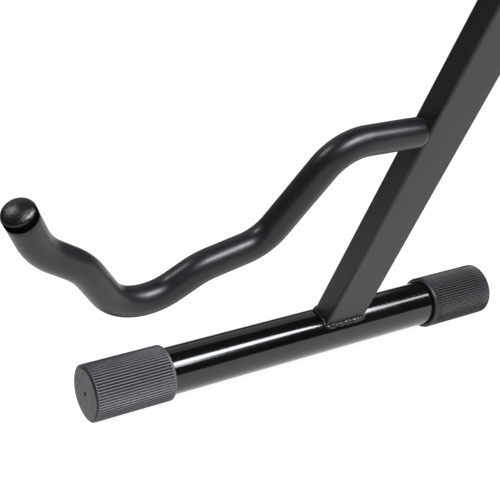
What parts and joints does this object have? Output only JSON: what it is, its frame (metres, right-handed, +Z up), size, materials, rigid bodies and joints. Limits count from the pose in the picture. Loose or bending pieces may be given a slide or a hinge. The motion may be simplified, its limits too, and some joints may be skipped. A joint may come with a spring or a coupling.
{
  "type": "folding guitar stand",
  "caption": "Folding A-frame floor stand for a guitar, with soft-sleeved cradle arms, hinged rectangular legs, round foot tubes in ribbed rubber caps and a padded head.",
  "frame": {"origin": "on the floor, at the middle of the bounding box of the open stand", "axes": "+X across the stand's width, -Y to its front, where the guitar leans and the arms reach, +Z up"},
  "size_m": [0.4452, 0.3236, 0.4025],
  "materials": {
    "gloss_paint": "gloss black paint",
    "powder_coat": "satin black powder coat",
    "cap_rubber": "ribbed matte black rubber",
    "sleeve_foam": "soft satin black sleeve",
    "plug_rubber": "grained black rubber",
    "black_plastic": "moulded black plastic",
    "nylon": "natural nylon",
    "black_steel": "blackened steel",
    "bare_steel": "plain steel",
    "pad_foam": "moulded soft rubber"
  },
  "bodies": {
    "head": {"head_plate_front": "powder_coat", "head_plate_rear": "powder_coat", "stop_spacer": "bare_steel", "back_pad": "pad_foam", "pivot_bolt_left": "black_steel", "pivot_nut_left": "black_steel", "nut_washer_left": "black_steel", "thrust_washer_front_left": "nylon", "thrust_washer_rear_left": "nylon", "pivot_bolt_right": "black_steel", "pivot_nut_right": "black_steel", "nut_washer_right": "black_steel", "thrust_washer_front_right": "nylon", "thrust_washer_rear_right": "nylon", "bolt_stop": "black_steel", "nut_stop": "black_steel", "nut_washer_stop": "black_steel"},
    "left_half": {"foot_tube_left": "gloss_paint", "foot_cap_front_left": "cap_rubber", "foot_cap_rear_left": "cap_rubber", "leg_tube_left": "powder_coat", "foot_weld_left": "powder_coat", "leg_top_plug_left": "black_plastic", "pivot_bush_left": "bare_steel", "arm_rod_left": "bare_steel", "arm_sleeve_left": "sleeve_foam", "arm_end_plug_left": "plug_rubber"},
    "right_half": {"foot_tube_right": "gloss_paint", "foot_cap_front_right": "cap_rubber", "foot_cap_rear_right": "cap_rubber", "leg_tube_right": "powder_coat", "foot_weld_right": "powder_coat", "leg_top_plug_right": "black_plastic", "pivot_bush_right": "bare_steel", "arm_rod_right": "bare_steel", "arm_sleeve_right": "sleeve_foam", "arm_end_plug_right": "plug_rubber"}
  },
  "joints": [
    {"name": "left_leg_fold", "type": "hinge", "parent": "head", "child": "left_half", "pos_m": [-0.016, 0.08592, 0.37958], "axis": [0, -0.9954, 0.0962], "range_deg": [0, 26.7]},
    {"name": "right_leg_fold", "type": "hinge", "parent": "head", "child": "right_half", "pos_m": [0.016, 0.08592, 0.37958], "axis": [0, 0.9954, -0.0962], "range_deg": [0, 26.7]}
  ]
}
